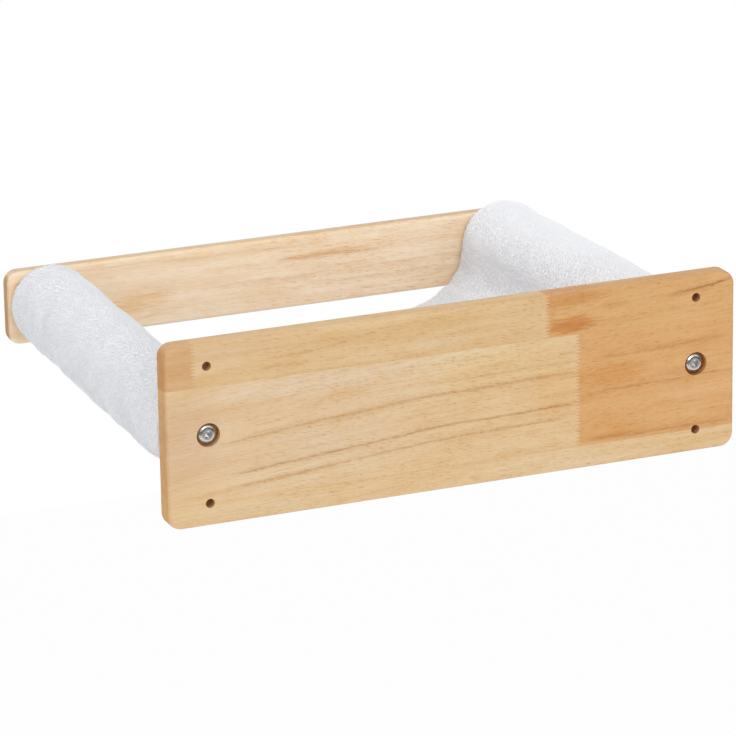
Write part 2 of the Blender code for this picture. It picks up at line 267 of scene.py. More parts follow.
class Finish:
    """A material while its nodes are being laid out."""

    def __init__(self, name, **constants):
        self.material = bpy.data.materials.new(name)
        self.material.use_nodes = True
        self.tree = self.material.node_tree
        self.shader = self.tree.nodes["Principled BSDF"]
        self.node = partial(add_node, self.tree)
        self.feed(**constants)

    def feed(self, **inputs):
        """Set or link the shader's inputs by their names in lower case."""
        for name, value in inputs.items():
            slot = next(s for s in self.shader.inputs if s.name.lower().replace(" ", "_") == name)
            put(self.tree, slot, value)

    def place(self):
        """Object coordinates in millimetres."""
        split = self.node("ShaderNodeSeparateXYZ",
                          at0=self.node("ShaderNodeTexCoord").outputs["Object"])
        return [Field(self.tree, out) / MM for out in split.outputs]

    def cloudy(self, x, y, z, detail=2, roughness=0.5, distortion=0.0):
        """Noise from about 0.25 to 0.75 with features about one unit wide."""
        where = self.node("ShaderNodeCombineXYZ", at0=x, at1=y, at2=z).outputs[0]
        made = self.node("ShaderNodeTexNoise", Vector=where, Scale=1.0, Detail=detail,
                         Roughness=roughness, Distortion=distortion)
        return Field(self.tree, made.outputs[0])

    def ramp(self, value, low, high):
        """0 at low and 1 at high, eased."""
        made = self.node("ShaderNodeMapRange", {"interpolation_type": "SMOOTHSTEP"},
                         at0=value, at1=low, at2=high)
        return Field(self.tree, made.outputs[0])

    def fade(self, value, low, high):
        """1 at low and 0 at high, eased."""
        return 1 - self.ramp(value, low, high)

    def blend(self, share, first, second, way="MIX"):
        """The first colour where share is 0 and the second where it is 1."""
        made = self.node("ShaderNodeMix", {"data_type": "RGBA", "blend_type": way},
                         at0=share, at6=colour(first), at7=colour(second))
        return made.outputs[2]

    def stain(self, share, tone, tint):
        """A tone that is tinted over a share of the surface."""
        return self.blend(share, tone, tint, "MULTIPLY")

    def relief(self, height, depth, strength):
        """Relief in the shading, as deep as given where the height is 1."""
        made = self.node("ShaderNodeBump", Strength=strength, Distance=depth, Height=height)
        self.feed(normal=made.outputs[0])


def colour(value):
    """A colour as its socket takes it, or a link as it is."""
    return (*value, 1.0) if isinstance(value, tuple) and len(value) == 3 else value


# Wood


class Stave(NamedTuple):
    """One length of rubberwood in a glued-up board, seen from the wall, in millimetres.

    It runs from its joint to the right. Its grain rises by lean and bends by arch, and its
    pores rise by pores.
    """
    low: float
    high: float
    joint: float
    tone: tuple
    start: float
    lean: float = 0.0
    arch: float = 0.0
    pores: float = -0.03


class Ring(NamedTuple):
    """A growth line: height at mid-board, where it starts and ends, and how it runs."""
    level: float
    start: float
    end: float
    width: float
    strength: float
    lean: float
    arch: float = 0.0


class Mark(NamedTuple):
    """A patch of other colour: middle, reach along and across the grain, strength and tint."""
    along: float
    across: float
    reach: float
    breadth: float
    strength: float
    tint: tuple = (0.88, 0.71, 0.55)


BEFORE_BOARD = -400                 # the joint of a stave that starts past the board's end
FINGER_HALF, FINGER_STEEP = 1.1, 3.6        # half a finger joint's pitch in mm, and its slope
GLUE_HALF = 0.35                    # half a glue line's width in mm
PALE = (1.00, 1.06, 1.22)
GOLDEN = (0.98, 0.93, 0.80)

WALL_STAVES = (
    Stave(31.7, 61, BEFORE_BOARD, (0.700, 0.430, 0.205), 11, 0.02, 0, -0.16),
    Stave(31.7, 61, -177, (0.770, 0.540, 0.290), 3, 0.02, 0, -0.16),
    Stave(31.7, 61, 66, (0.745, 0.435, 0.176), 7, 0.05, 0, 0.13),
    Stave(-44.5, 31.7, BEFORE_BOARD, (0.790, 0.560, 0.312), 1, 0.036, -0.00025, -0.16),
    Stave(-44.5, 31.7, 87.5, (0.755, 0.428, 0.172), 5, 0.035, 0, 0.07),
    Stave(-61, -44.5, BEFORE_BOARD, (0.790, 0.570, 0.318), 9, 0.02, 0, -0.05),
)
WALL_RINGS = (
    Ring(4.7, -165, 86, 1.0, 0.60, 0.0364, -0.000249),
    Ring(-17.0, -155, 86, 1.0, 0.85, 0.0370, -0.000249),
    Ring(-25.8, -155, 80, 0.9, 0.65, 0.0370, -0.000249),
    Ring(13.0, -30, 86, 1.2, 0.30, 0.0100),
    Ring(9.0, 92, 199, 1.3, 0.50, 0.040),
    Ring(-11.2, 90, 199, 1.0, 0.70, 0.022),
    Ring(-42.5, 88, 199, 1.5, 0.55, 0.010),
    Ring(31.0, 148, 199, 0.9, 0.95, 0.120),
    Ring(20.0, 150, 199, 0.9, 0.80, 0.180),
    Ring(52.5, -130, -70, 0.8, 0.45, 0.0700),
    Ring(44.0, -140, -100, 0.9, 0.35, 0.0500),
)
WALL_MARKS = (
    Mark(81, 38.5, 20, 6.4, 1.0, (0.85, 0.61, 0.34)),
    Mark(80, 56, 26, 6.5, 1.0, (0.88, 0.74, 0.54)),
    Mark(112, 48, 14, 3.0, 0.40),
    Mark(112, -38, 30, 6.0, 0.90, (0.95, 0.86, 0.68)),
    Mark(186, -33, 17, 2.8, 0.45),
    Mark(112, 1, 26, 9.0, 1.0, (0.94, 0.82, 0.62)),
    Mark(165, -3, 26, 4.0, 0.60, (0.92, 0.86, 0.86)),
    Mark(160, -18, 46, 5.0, 0.70, (1.02, 1.06, 1.20)),
    Mark(104, 24, 28, 5.0, 0.50, (1.00, 1.04, 1.10)),
    Mark(160, 16, 34, 3.0, 0.35),
    Mark(-80, 53, 18, 4.5, 0.45, (0.97, 0.86, 0.66)),
    Mark(-118, 42, 28, 3.5, 0.45, (0.96, 0.84, 0.66)),
    Mark(-20, 50, 60, 8.0, 0.40, GOLDEN),
    Mark(-186, -4, 26, 36, 0.90, (0.93, 0.90, 0.95)),
    Mark(-155, 52, 40, 9.0, 0.60, (0.99, 1.00, 1.12)),
    Mark(-14, 40, 26, 6.0, 0.50, PALE),
    Mark(-75, 25, 110, 9.0, 0.90, (1.02, 1.11, 1.30)),
    Mark(20, 26, 60, 6.0, 0.60, (1.03, 1.10, 1.12)),
    Mark(-95, -26, 80, 24, 0.85, (1.00, 1.06, 1.20)),
    Mark(-50, 8, 60, 7.0, 0.50, (1.00, 1.04, 1.12)),
    Mark(72, -4, 24, 20.0, 0.90, (0.98, 0.90, 0.76)),
    Mark(-120, 4, 120, 34.0, 0.90, (0.99, 1.01, 1.10)),
    Mark(30, 14, 60, 12.0, 0.60, (1.03, 1.06, 1.03)),
    Mark(-130, -53, 55, 6.0, 0.90, (1.00, 1.07, 1.20)),
    Mark(-35, -53, 34, 6.0, 0.80, (0.97, 0.93, 0.88)),
    Mark(70, -53, 60, 7.0, 0.90, (1.02, 1.08, 1.20)),
    Mark(182, -53, 40, 7.0, 0.90, (0.97, 0.92, 0.82)),
)
OUTER_STAVES = (
    Stave(-61, 61, BEFORE_BOARD, (1.000, 0.820, 0.615), 13, 0.01, 0, -0.10),
)
OUTER_RINGS = (
    Ring(10.5, 0, 80, 1.4, 0.55, -0.012),
    Ring(-3.0, -60, 150, 1.5, 0.30, 0.012),
    Ring(19.0, -190, 40, 1.2, 0.25, -0.010),
    Ring(-9.0, 20, 160, 1.0, 0.25, -0.008),
)
OUTER_MARKS = (
    Mark(-100, -6.5, 26, 6.5, 1.0, (0.94, 0.82, 0.66)),
    Mark(-190, 0, 14, 30.0, 0.50, (0.90, 0.76, 0.60)),
    Mark(40, 10.5, 36, 3.0, 0.90, (0.95, 0.83, 0.70)),
    Mark(-60, 21, 80, 4.0, 0.40, GOLDEN),
    Mark(60, -18, 90, 6.0, 0.50, (1.02, 1.03, 1.06)),
)
DOWEL_STAVES = (Stave(-61, 61, BEFORE_BOARD, (0.74, 0.54, 0.33), 21),)

# Drilled from the wall face: bolt counterbores and wall-screw holes, as offset, radius, the depth over
# which the tint comes in, and tint. The screw holes' tint is bare wood darkened further by painted shade
# that deepens into the hole; the counterbores' tint is painted light that lifts the shade on their walls
BORES = (
    (0.0, 7.9, 6.0, (1.10, 1.02, 0.94)),
    (45.0, 3.1, 6.0, (0.66, 0.46, 0.30)),
    (-45.0, 3.1, 6.0, (0.66, 0.46, 0.30)),
)


def within(wood, value, low, high, soft):
    """1 between two limits."""
    return wood.ramp(value, low - soft, low + soft) * wood.fade(value, high - soft, high + soft)


def lay_staves(wood, staves, along, across):
    """Each stave's tone and grain settings over the board, and the glue lines between them."""
    wander = wood.cloudy(along / 9, across / 1.3, 3.0, detail=1) - 0.5
    teeth = (across + wander * 0.5).zigzag(FINGER_HALF) * FINGER_STEEP + wander * 3.0
    tone = staves[0].tone
    ways = [0.0, 0.0, 0.0, 0.0]
    glue = wood.fade(abs(across - staves[0].low), 0.0, GLUE_HALF)
    covers = []
    for stave in staves:
        band = within(wood, across, stave.low, stave.high, 0.15)
        cover = band * wood.ramp(along + teeth - stave.joint, -0.25, 0.25)
        tone = wood.blend(cover, tone, stave.tone)
        own = (stave.start, stave.lean, stave.arch, stave.pores)
        ways = [way * (1 - cover) + cover * value for way, value in zip(ways, own)]
        covers.append(cover)
        glue = glue.most(wood.fade(abs(across - stave.low), 0.0, GLUE_HALF))
        if stave.joint > BEFORE_BOARD:
            end = wood.fade(abs(along + teeth - stave.joint), 0.1, 0.8)
            glue = glue.most(end * band)
    return tone, ways, glue, covers


def shade_grain(wood, tone, place, ways, open_share):
    """Broad bands, streaks and short open pores along the grain."""
    along, depth, across = place
    start, lean, arch, pore_lean = ways
    level = across - along * lean - along * along * arch
    pore_level = across - along * pore_lean
    bands = wood.cloudy(along / 95 + start * 3.1, level / 7, depth / 8 + start,
                        detail=3, roughness=0.55)
    streaks = wood.cloudy(along / 34 + start * 5.3, level / 1.6, depth / 2 + start,
                          detail=4, roughness=0.65, distortion=0.25)
    silk = wood.cloudy(along / 7 + start, pore_level / 0.6, depth / 0.6, detail=3, roughness=0.7)
    dashes = wood.cloudy(along / 5 + start * 2, pore_level / 0.55, depth / 0.5 + start,
                         roughness=0.6)
    flecks = wood.cloudy(along / 9 - start * 3, pore_level / 0.8, depth / 0.8 - start, detail=1)
    crowd = wood.ramp(bands + streaks, 0.74, 1.12)
    pores = wood.ramp(dashes, 0.57, 0.70) * (0.35 + crowd * 0.65) * open_share
    flecks = wood.ramp(flecks, 0.60, 0.72) * crowd * open_share
    patches = wood.cloudy(along / 24 + start, level / 11, depth / 11)
    for share, tint in (
            (wood.ramp(bands, 0.36, 0.66) * 0.50, (0.93, 0.82, 0.66)),
            (wood.ramp(bands, 0.44, 0.26) * 0.50, (1.03, 1.07, 1.12)),
            (wood.ramp(streaks, 0.52, 0.74) * 0.60, (0.90, 0.79, 0.64)),
            (wood.ramp(streaks, 0.47, 0.28) * 0.45, (1.05, 1.08, 1.12)),
            (wood.ramp(patches, 0.50, 0.70) * 0.50, (0.96, 0.89, 0.78)),
            (wood.ramp(silk, 0.50, 0.68) * 0.80, (0.92, 0.86, 0.77)),
            (wood.ramp(silk, 0.46, 0.30) * 0.55, (1.05, 1.06, 1.08)),
            (flecks * 0.80, (0.84, 0.71, 0.56)),
            (pores * 0.90, (0.74, 0.60, 0.44))):
        tone = wood.stain(share, tone, tint)
    return tone, pores.most(flecks), silk


def shade_rings(wood, tone, place, ways, rings):
    """Growth lines, broken into short staggered dashes."""
    along, depth, across = place
    pore_level = across - along * ways[3]
    tremble = wood.cloudy(along / 5, pore_level / 1.1, depth / 3 + 40, detail=3) - 0.5
    drift = wood.cloudy(along / 45, across / 60, depth / 30 + 70, detail=1) - 0.5
    broken = wood.ramp(wood.cloudy(along / 7, pore_level / 1.5, 11.0), 0.28, 0.52)
    for ring in rings:
        height = across - along * ring.lean - along * along * ring.arch
        gap = abs(height + tremble * 3.6 + drift * 5.0 - ring.level)
        line = wood.fade(gap, 0.1, ring.width) * (0.35 + broken * 0.65)
        soft = wood.fade(gap, 0.3, ring.width * 3.2)
        reach = (wood.ramp(along, ring.start - 4, ring.start + 14)
                 * wood.fade(along, ring.end - 14, ring.end + 3))
        shade = (line * 0.85 + soft * 0.35) * reach * ring.strength
        tone = wood.stain(shade, tone, (0.76, 0.62, 0.47))
    return tone


def shade_marks(wood, tone, place, staves, covers, marks):
    """Heartwood and pale patches. Each stays on its own stave."""
    along, depth, across = place
    ragged = wood.cloudy(along / 10, across / 1.4, depth / 5 + 90, detail=4, roughness=0.65) - 0.5
    for mark in marks:
        far = (((along - mark.along) / mark.reach) ** 2
               + ((across - (along - mark.along) * 0.02 - mark.across) / mark.breadth) ** 2)
        patch = wood.fade(far + ragged * 3.2, 0.05, 1.3) * mark.strength
        own = max(i for i, stave in enumerate(staves)
                  if stave.low <= mark.across < stave.high and stave.joint < mark.along)
        tone = wood.stain(patch * covers[own], tone, mark.tint)
    return tone


def rubberwood(name, staves, rings=(), marks=(), bores=(), end_tone_and_shade=(0.86, 0.70, 0.50),
               painted_edge_shade=(0.82, 0.78, 0.68), calm=BEFORE_BOARD):
    """Finger-jointed rubberwood with satin lacquer, its grain along X.

    Ends are tinted as darker end grain with painted shade, top and bottom faces as painted shade; pores
    are filled to the left of calm.
    """
    settings = bpy.context.scene.hammock_wood
    wood = Finish(name, coat_roughness=0.28)
    x, depth, across = wood.place()
    along = -x
    place = (along, depth, across)
    tone, ways, glue, covers = lay_staves(wood, staves, along, across)
    open_share = 0.35 + wood.ramp(along, calm, calm + 110) * 0.65
    tone, pores, silk = shade_grain(wood, tone, place, ways, open_share)
    tone = shade_rings(wood, tone, place, ways, rings)
    tone = shade_marks(wood, tone, place, staves, covers, marks)
    tone = wood.stain(glue * 0.25, tone, (0.75, 0.60, 0.46))

    # Sawn ends drink the lacquer and also carry painted shade; the top and bottom faces carry painted
    # shade
    facing = wood.node("ShaderNodeSeparateXYZ",
                       at0=wood.node("ShaderNodeTexCoord").outputs["Normal"]).outputs
    end_grain = wood.ramp(abs(Field(wood.tree, facing[0])), 0.55, 0.95)
    edge = wood.ramp(abs(Field(wood.tree, facing[2])), 0.55, 0.95)
    speckle = wood.cloudy(along / 2, across / 0.5, depth / 0.5, detail=3, roughness=0.7)
    tone = wood.stain(end_grain * (0.70 + speckle * 0.4), tone, end_tone_and_shade)
    tone = wood.stain(edge * 0.9, tone, painted_edge_shade)

    # Bare wood inside what was drilled, with painted shade deepening into the screw holes and painted
    # light on the counterbores' walls
    bare = end_grain * 0.8
    for offset, radius, deep, tint in bores:
        out = ((abs(along) - DOWEL_X / MM) ** 2 + (across - offset) ** 2) ** 0.5
        inside = wood.fade(out, radius - 0.1, radius + 0.3) * wood.ramp(-depth, 0.4, deep)
        tone = wood.stain(inside, tone, tint)
        bare = bare.most(inside)

    wood.feed(base_color=tone, coat_weight=settings.lacquer * (1 - bare),
              roughness=settings.roughness + pores * 0.15 + bare * 0.3)
    wood.relief(silk * 0.35 - pores - glue * 0.4, settings.pore_depth, 0.6)
    return wood.material


# Metal


def bright_steel():
    """Nickel-plated steel with faint handling marks."""
    steel = Finish("bolt_nickel", metallic=1.0)
    x, y, z = steel.place()
    marks = steel.cloudy(x / 1.5, y / 1.5, z / 1.5, detail=4, roughness=0.7)
    scratches = steel.cloudy(x / 0.25, y / 0.25, z / 4.0)
    tint = bpy.context.scene.hammock_metal.steel
    steel.feed(base_color=steel.blend(steel.ramp(marks, 0.40, 0.75), tuple(tint),
                                      tuple(c * 0.90 for c in tint)),
               roughness=0.13 + marks * 0.16 + steel.ramp(scratches, 0.6, 0.7) * 0.08)
    steel.relief(marks * 0.5 + scratches * 0.2, 0.00002, 0.5)
    return steel.material


def cast_zinc():
    """Plain zinc alloy for the threaded inserts."""
    zinc = Finish("insert_zinc_cast", metallic=1.0)
    x, y, z = zinc.place()
    grain = zinc.cloudy(x / 0.4, y / 0.4, z / 0.4, detail=3, roughness=0.7)
    tint = bpy.context.scene.hammock_metal.zinc
    zinc.feed(base_color=zinc.blend(grain, tuple(tint), tuple(c * 0.82 for c in tint)),
              roughness=0.34 + grain * 0.22)
    zinc.relief(grain, 0.00003, 0.5)
    return zinc.material


# Plush


def cloth_place(finish):
    """Place on the cut cloth in millimetres: across the sling, then along its sleeves."""
    split = finish.node("ShaderNodeSeparateXYZ",
                        at0=finish.node("ShaderNodeUVMap", {"uv_map": "cut"}).outputs[0])
    return [Field(finish.tree, out) / MM for out in split.outputs[:2]]


def dense_pile():
    """The close pile that the loose tips stand on."""
    tint = tuple(bpy.context.scene.hammock_plush.colour)
    pile = Finish("plush_ground", sheen_weight=0.1, sheen_roughness=0.6, specular_ior_level=0.15)
    x, y, z = pile.place()
    tufts = pile.cloudy(x / 0.9, y / 0.9, z / 0.9, detail=3, roughness=0.65, distortion=0.6)
    drifts = pile.cloudy(x / 16, y / 22, z / 16, detail=3, distortion=0.8)
    shade = pile.blend(pile.ramp(tufts, 0.56, 0.34) * 0.5, tint, tuple(c * 0.90 for c in tint))
    shade = pile.blend(pile.ramp(drifts, 0.45, 0.70) * 0.5, shade,
                       tuple(c * f for c, f in zip(tint, (0.955, 0.965, 0.98))))
    pile.feed(base_color=shade, roughness=0.92 + tufts * 0.08)
    pile.relief(tufts + drifts * 0.4, 0.0004, 0.6)
    return pile.material


def loose_pile(name):
    """Loose tips, in the plain colour of the plush."""
    pile = Finish(name, base_color=(*bpy.context.scene.hammock_plush.colour, 1), roughness=0.95,
                  sheen_weight=0.05, sheen_roughness=0.6, specular_ior_level=0.1)
    return pile.material


def knitted_backing():
    """The warp-knitted back of the plush, with fine wales along the sleeves."""
    tint = tuple(c * 0.97 for c in bpy.context.scene.hammock_plush.colour)
    knit = Finish("plush_backing", sheen_weight=0.15, sheen_roughness=0.5, specular_ior_level=0.2)
    across, along = cloth_place(knit)
    wander = knit.cloudy(across / 20, along / 20, 0.0) - 0.5
    rib = (across + wander * 0.8).zigzag(0.45)
    wale = rib / 0.45
    loops = (along + rib * 0.9).zigzag(0.40) / 0.40
    fuzz = knit.cloudy(across / 0.7, along / 0.7, 0.0, detail=3, roughness=0.7)
    knit.feed(base_color=knit.blend(knit.ramp(wale * 0.6 + loops * 0.4, 0.55, 0.10) * 0.6,
                                    tint, tuple(c * 0.80 for c in tint)),
              roughness=0.85 + fuzz * 0.12)
    knit.relief(wale * 0.5 + loops * 0.3 + fuzz * 0.5, 0.0003, 0.8)
    return knit.material


def cubic(controls, share):
    """Points on a cubic curve, one for each share."""
    start, pull_start, pull_end, end = (np.asarray(c)[None] for c in controls)
    t = np.asarray(share)[:, None]
    s = 1 - t
    return s ** 3 * start + 3 * s * s * t * pull_start + 3 * s * t * t * pull_end + t ** 3 * end


def polar(radius, angle):
    """Steps of that length, each at its angle."""
    return np.stack([np.cos(angle), np.sin(angle)], -1) * np.asarray(radius)[..., None]


def unit(vectors):
    """The same ways, each one unit long."""
    return vectors / np.linalg.norm(vectors, axis=-1)[..., None]


def sleeve_loop(side, along):
    """Mid-line of the sleeve round its dowel, from under it to its inner side."""
    places, slack, ways, puffs = zip(*SLEEVE_LIE[side])
    hung = polar(SLEEVE_EASE * np.array(slack), np.radians(ways))
    middle = [np.interp(along, places, hung[:, 0]), np.interp(along, places, hung[:, 1])]
    angles = np.linspace(LOOP_FROM, LOOP_TO, LOOP_POINTS)
    puff = np.interp(along, places, puffs) * MM * (
        0.5 + 0.5 * np.cos(angles - radians(PUFF_TO[side])))
    return middle + polar(SLEEVE_RADIUS + puff, angles)


def half_section(side, along):
    """Mid-line of half the sling, from its hem under the bed to mid-span: (inward, up)."""
    sag = SLING_SAG + SLING_DISH * sin(pi * along)
    seam = np.array((SLEEVE_RADIUS + SEAM_LEAD, -SLEEVE_RADIUS - SEAM_SINK))
    middle = np.array((DOWEL_X, -sag))
    pull = polar(np.linalg.norm(middle - seam) * BED_PULL, BED_SLOPE)
    level = np.array(((middle[0] - seam[0]) * MIDDLE_PULL, 0))
    bed = (seam, seam + pull, middle - level, middle)
    loop = sleeve_loop(side, along)

    hem_shares = np.linspace(HEM_WIDTH / (3 * np.linalg.norm(pull)), 0, HEM_POINTS)
    hem = cubic(bed, hem_shares)
    heading = -unit(np.gradient(cubic(bed, np.append(hem_shares, -hem_shares[-2])), axis=0)[:-1])
    hem += np.stack([heading[:, 1], -heading[:, 0]], 1) * (CLOTH_BODY + 2 * TOUCH_GAP)

    under = hem[-1]
    reach = np.linalg.norm(loop[0] - under) / 3
    lower = (under, under - polar(reach, BED_SLOPE), loop[0] + polar(reach, LOOP_FROM + pi / 2), loop[0])
    drop = polar(np.linalg.norm(loop[-1] - seam) * FOLD_PULL, LOOP_TO - pi / 2)
    meet = polar(SEAM_LEAD * SEAM_PULL, BED_SLOPE + SEAM_TURN)
    upper = (loop[-1], loop[-1] + drop, seam - meet, seam)
    return np.concatenate([
        hem[:-1],
        cubic(lower, np.linspace(0, 1, LOWER_POINTS))[:-1],
        loop[:-1],
        cubic(upper, np.linspace(0, 1, UPPER_POINTS))[:-1],
        cubic(bed, np.linspace(0, 1, BED_POINTS)),
    ])


# Where the parts of the whole section start, counted in points from the left hem's end
LOWER_SEAM = HEM_POINTS - 1
LOOP_START = HEM_POINTS + LOWER_POINTS - 2
LOOP_END = LOOP_START + LOOP_POINTS - 1
UPPER_SEAM = LOOP_END + UPPER_POINTS - 1
HALF = UPPER_SEAM + BED_POINTS
COLUMNS = 2 * HALF - 1
SEAMS = (LOWER_SEAM, UPPER_SEAM, COLUMNS - 1 - UPPER_SEAM, COLUMNS - 1 - LOWER_SEAM)


class Sling(NamedTuple):
    """The sling's mid-surface, row by row from the outer board to the wall board.

    Each point has its place and the way the pile grows. Each column has its place across the cut
    cloth and each row its place along it. Full falls from 1 towards 0 in the rounded edges.
    """
    middle: np.ndarray
    outward: np.ndarray
    across: np.ndarray
    along: np.ndarray
    full: np.ndarray


def eased_rows(grid, times):
    """Soften a grid from row to row, with its first and last rows held."""
    for _ in range(times):
        grid[1:-1] = (grid[:-2] + 2 * grid[1:-1] + grid[2:]) / 4
    return grid


def lay_sling():
    """Lay the cloth round both dowels, with rows that are closer together at its sides."""
    along = np.linspace(0, 1, SLING_ROWS)
    ends = 0.5 - 0.5 * np.cos(pi * along)
    along = ROWS_EVEN * along + ROWS_CROWDED * ends
    rows = []
    for share in along:
        left, right = (half_section(side, share) for side in ("left", "right"))
        left = left - (DOWEL_X, 0)
        right = (DOWEL_X, 0) + right * (-1, 1)
        rows.append(np.concatenate([left, right[-2::-1]]))
    flat = eased_rows(np.array(rows), ROW_EASING)
    place = along * SLING_LENGTH
    free = np.clip(np.cos(pi * flat[..., 0] / (2 * DOWEL_X)), 0, None)
    y = OUTER_WALL_SIDE + SLING_TO_BOARD + place[:, None]
    y = y + SLING_WAIST * free ** 2 * (1 - 2 * along[:, None])
    middle = np.stack([flat[..., 0], y, flat[..., 1]], -1)
    outward = facing(middle)
    step = np.linalg.norm(np.diff(middle[SLING_ROWS // 2], axis=0), axis=1)
    across = np.concatenate([[0], np.cumsum(step)])
    to_side = np.minimum(place, SLING_LENGTH - place)[:, None]
    to_end = np.minimum(across, across[-1] - across)[None]
    full = (np.minimum(1, (to_side / ROUND_EDGE + BLUNT_EDGE) ** 0.5)
            * np.minimum(1, (to_end / ROUND_END + BLUNT_END) ** 0.5))
    return Sling(middle, outward, across, place, full)


def facing(grid):
    """Unit normals of a grid, on the side that the pile grows from."""
    return unit(np.cross(np.gradient(grid, axis=1), np.gradient(grid, axis=0)))


def soft_noise(points, size, seed):
    """Smooth noise from about -1 to 1 at each point of a grid, with features of that size."""
    flat = points.reshape(-1, 3) / size
    away = Vector((seed * 17.3, seed * 5.1, seed * 9.7))
    return np.array([noise.noise(Vector(p) + away) for p in flat]).reshape(points.shape[:-1])


def bell(distance, width):
    """1 at no distance, falling smoothly to nothing past the width."""
    return np.exp(-(distance / width) ** 2)


# Soft unevenness of the pile: share of the height, size and seed
LUMPS = ((0.9, 0.030, 1), (0.6, 0.013, 2), (0.35, 0.006, 3))
CREASE_DRIFT, CREASE_WAVE = 0.006, 0.017    # how a crease wanders along the sleeve, and how soon

# Soft creases round a sleeve: side, share of its length, turn round the dowel where the crease
# is deepest (degrees above the inward direction), reach along the cloth, width and depth in mm
CREASES = (
    ("right", 0.24, 205, 26, 6.0, 1.6),
    ("right", 0.36, 215, 18, 5.0, 0.9),
    ("right", 0.62, 210, 24, 6.5, 1.7),
    ("right", 0.78, 220, 16, 5.0, 1.0),
    ("right", 0.90, 190, 22, 7.0, 1.3),
    ("left", 0.10, 110, 24, 7.0, 0.8),
    ("left", 0.30, 60, 30, 7.0, 1.0),
    ("left", 0.55, 70, 24, 6.0, 0.8),
    ("left", 0.82, 200, 24, 6.0, 1.0),
)


def pile_height(sling):
    """How far the dense pile stands off the mid-surface."""
    settings = bpy.context.scene.hammock_plush
    height = CLOTH_BODY / 2 * sling.full - settings.pile_shows * np.minimum(1, sling.full + 0.1)
    lumps = sum(share * soft_noise(sling.middle, size, seed) for share, size, seed in LUMPS)
    height = height + settings.lump * lumps * sling.full
    for seam in SEAMS:
        height = height - GROOVE_DEPTH * bell(sling.across - sling.across[seam], GROOVE_WIDTH)[None]
    start = sling.across[LOOP_START]
    ring = sling.across[LOOP_END] - start
    for side, share, turn, reach, width, depth in CREASES:
        place = start + ring * (LOOP_FROM - radians(turn)) / (LOOP_FROM - LOOP_TO)
        if side == "right":
            place = sling.across[-1] - place
        drift = CREASE_DRIFT * np.sin((sling.across - place) / CREASE_WAVE)
        crease = (bell(sling.across[None] - place, reach * MM)
                  * bell(sling.along[:, None] - share * SLING_LENGTH - drift[None], width * MM))
        height = height - depth * MM * crease
    return height


def knitted_side(sling):
    """The sling's backing, on the side away from the pile."""
    return sling.middle - sling.outward * (CLOTH_BODY / 2 * sling.full)[..., None]


def grid_faces(rows, columns, turned=False):
    """The quads of a grid of points, turned over where asked."""
    corner = np.arange((rows - 1) * columns).reshape(rows - 1, columns)[:, :-1].ravel()
    faces = np.stack([corner, corner + 1, corner + columns + 1, corner + columns], 1)
    return faces[:, ::-1] if turned else faces


def in_scene(name, data):
    """A new object in the scene, from its data."""
    made = bpy.data.objects.new(name, data)
    bpy.context.scene.collection.objects.link(made)
    return made


def mesh_piece(name, points, faces, materials, kinds=None, edges=()):
    """An object from points and quads, with its faces shaded smooth."""
    mesh = bpy.data.meshes.new(name)
    mesh.from_pydata(points.reshape(-1, 3).tolist(), edges, np.asarray(faces).tolist())
    for material in materials:
        mesh.materials.append(material)
    if kinds is not None:
        mesh.polygons.foreach_set("material_index", np.asarray(kinds, np.int32))
    mesh.shade_smooth()
    mesh.update()
    return in_scene(name, mesh)


def make_cloth(sling, height):
    """The plush as one closed sheet: dense pile outside, knitted backing inside."""
    top = sling.middle + sling.outward * height[..., None]
    back = knitted_side(sling)
    rows, columns = SLING_ROWS, COLUMNS
    count = rows * columns
    rim = np.concatenate([
        np.arange(columns),
        np.arange(1, rows) * columns + columns - 1,
        (rows - 1) * columns + np.arange(columns - 2, -1, -1),
        np.arange(rows - 2, 0, -1) * columns,
    ])
    after = np.roll(rim, -1)
    # One more line of points round the rim, pushed out so that the edge is round
    side_out = np.zeros_like(sling.middle)
    side_out[0] -= (0, 1, 0)
    side_out[-1] += (0, 1, 0)
    side_out[:, 0] += sling.middle[:, 0] - sling.middle[:, 1]
    side_out[:, -1] += sling.middle[:, -1] - sling.middle[:, -2]
    side_out = unit(side_out.reshape(-1, 3)[rim])
    edge = (top.reshape(-1, 3)[rim] + back.reshape(-1, 3)[rim]) / 2 + side_out * EDGE_BULGE
    middle = 2 * count + np.arange(len(rim))
    middle_after = np.roll(middle, -1)
    faces = [
        grid_faces(rows, columns),
        grid_faces(rows, columns, turned=True) + count,
        np.stack([after, rim, middle, middle_after], 1),
        np.stack([middle_after, middle, rim + count, after + count], 1),
    ]
    kinds = np.repeat([0, 1, 0, 0], [len(f) for f in faces])
    points = np.concatenate([top.reshape(-1, 3), back.reshape(-1, 3), edge])
    cloth = mesh_piece("plush_cloth", points, np.concatenate(faces),
                       [dense_pile(), knitted_backing()], kinds)
    cut = np.stack(np.meshgrid(sling.across, sling.along), -1).reshape(-1, 2)
    cut = np.concatenate([cut, cut, cut[rim]])
    layer = cloth.data.uv_layers.new(name="cut")
    corners = np.empty(len(cloth.data.loops), np.int32)
    cloth.data.loops.foreach_get("vertex_index", corners)
    layer.data.foreach_set("uv", cut[corners].ravel())
    return cloth, top


def geometry_tree(name, *sizes):
    """An empty node tree that takes geometry, named sizes and a seed."""
    tree = bpy.data.node_groups.new(name, "GeometryNodeTree")
    face = tree.interface
    face.new_socket("Geometry", in_out="INPUT", socket_type="NodeSocketGeometry")
    for size in sizes:
        face.new_socket(size, in_out="INPUT", socket_type="NodeSocketFloat")
    face.new_socket("Seed", in_out="INPUT", socket_type="NodeSocketInt")
    face.new_socket("Geometry", in_out="OUTPUT", socket_type="NodeSocketGeometry")
    return tree


def strewn_copies(add, points, shape, turn, scale, finish):
    """Real copies of a shape on points, in their finish."""
    copies = add("GeometryNodeInstanceOnPoints", Points=points, Instance=shape, Rotation=turn,
                 Scale=scale)
    real = add("GeometryNodeRealizeInstances", Geometry=copies.outputs[0])
    return add("GeometryNodeSetMaterial", Geometry=real.outputs[0], Material=finish).outputs[0]


